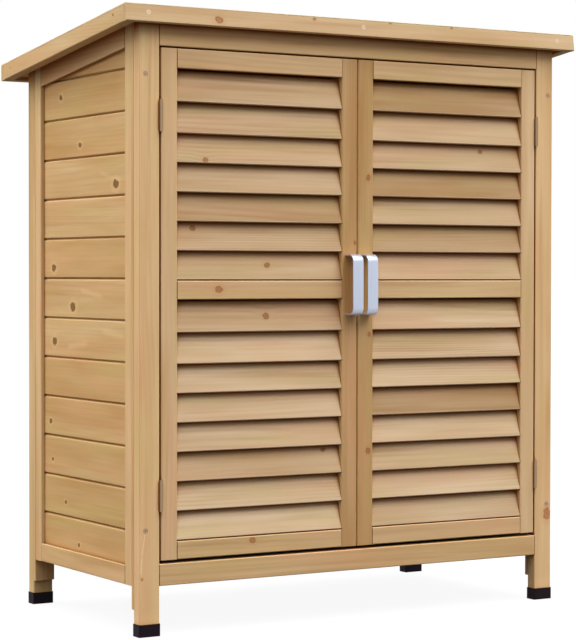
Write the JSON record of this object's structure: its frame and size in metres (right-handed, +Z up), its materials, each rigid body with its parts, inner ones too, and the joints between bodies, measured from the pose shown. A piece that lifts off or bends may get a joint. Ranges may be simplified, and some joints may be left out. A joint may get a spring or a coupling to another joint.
{
  "type": "garden storage cabinet",
  "caption": "Free-standing louvred wooden garden cabinet with two hinged doors, shelves inside, tongued and grooved side walls and a felted roof that falls to the back.",
  "frame": {"origin": "middle of the overall bounding box, on the floor under the foot caps", "axes": "+Z up; -Y is the front, where the doors and handles are; +X is to the right of someone facing the doors"},
  "size_m": [0.8612, 0.4776, 0.9724],
  "materials": {
    "frame_wood": "planed, clear stained",
    "strip_wood": "planed, clear stained",
    "panel_frame_wood": "planed, clear stained",
    "board_wood": "planed, clear stained",
    "inner_wood": "planed, clear stained",
    "roof_wood": "planed, clear stained",
    "fascia_wood": "planed, clear stained",
    "felt": "mineral grit on bitumen felt",
    "door_wood": "planed, clear stained",
    "slat_wood": "planed, clear stained",
    "cap_plastic": "matt moulded",
    "catch_plastic": "moulded",
    "hinge_metal": "satin zinc plate",
    "handle_metal": "satin",
    "strike_metal": "zinc plate",
    "screw_metal": "zinc plate"
  },
  "bodies": {
    "cabinet": {"front_left_post": "frame_wood", "front_right_post": "frame_wood", "back_left_post": "frame_wood", "back_right_post": "frame_wood", "header_rail": "frame_wood", "front_bottom_rail": "frame_wood", "back_top_rail": "frame_wood", "back_bottom_rail": "frame_wood", "front_left_strip": "strip_wood", "front_right_strip": "strip_wood", "back_left_strip": "strip_wood", "back_right_strip": "strip_wood", "door_stop": "strip_wood", "left_panel_front_stile": "panel_frame_wood", "left_panel_back_stile": "panel_frame_wood", "left_panel_top_rail": "panel_frame_wood", "left_panel_bottom_rail": "panel_frame_wood", "right_panel_front_stile": "panel_frame_wood", "right_panel_back_stile": "panel_frame_wood", "right_panel_top_rail": "panel_frame_wood", "right_panel_bottom_rail": "panel_frame_wood", "left_panel_boards": "board_wood", "right_panel_boards": "board_wood", "back_boards": "board_wood", "floor_boards": "inner_wood", "floor_bearers": "inner_wood", "lower_shelf": "inner_wood", "upper_shelf": "inner_wood", "shelf_battens": "inner_wood", "roof_boards": "roof_wood", "roof_front_fascia": "fascia_wood", "roof_left_fascia": "fascia_wood", "roof_right_fascia": "fascia_wood", "roof_back_fascia": "fascia_wood", "roof_felt": "felt", "foot_caps": "cap_plastic", "magnetic_catch": "catch_plastic", "hinge_post_leaves": "hinge_metal", "hinge_pins": "hinge_metal", "frame_screws": "screw_metal"},
    "left_door": {"left_door_hinge_stile": "door_wood", "left_door_meeting_stile": "door_wood", "left_door_top_rail": "door_wood", "left_door_middle_rail": "door_wood", "left_door_bottom_rail": "door_wood", "left_door_upper_slats": "slat_wood", "left_door_lower_slats": "slat_wood", "left_door_hinge_leaves": "hinge_metal", "left_door_handle": "handle_metal", "left_door_strike_plate": "strike_metal"},
    "right_door": {"right_door_hinge_stile": "door_wood", "right_door_meeting_stile": "door_wood", "right_door_top_rail": "door_wood", "right_door_middle_rail": "door_wood", "right_door_bottom_rail": "door_wood", "right_door_upper_slats": "slat_wood", "right_door_lower_slats": "slat_wood", "right_door_hinge_leaves": "hinge_metal", "right_door_handle": "handle_metal", "right_door_strike_plate": "strike_metal"}
  },
  "joints": [
    {"name": "left_door_hinge", "type": "hinge", "parent": "cabinet", "child": "left_door", "pos_m": [-0.3623, -0.2169, 0.513], "axis": [0, 0, -1], "range_deg": [0, 180]},
    {"name": "right_door_hinge", "type": "hinge", "parent": "cabinet", "child": "right_door", "pos_m": [0.3623, -0.2169, 0.513], "axis": [0, 0, 1], "range_deg": [0, 180]}
  ]
}
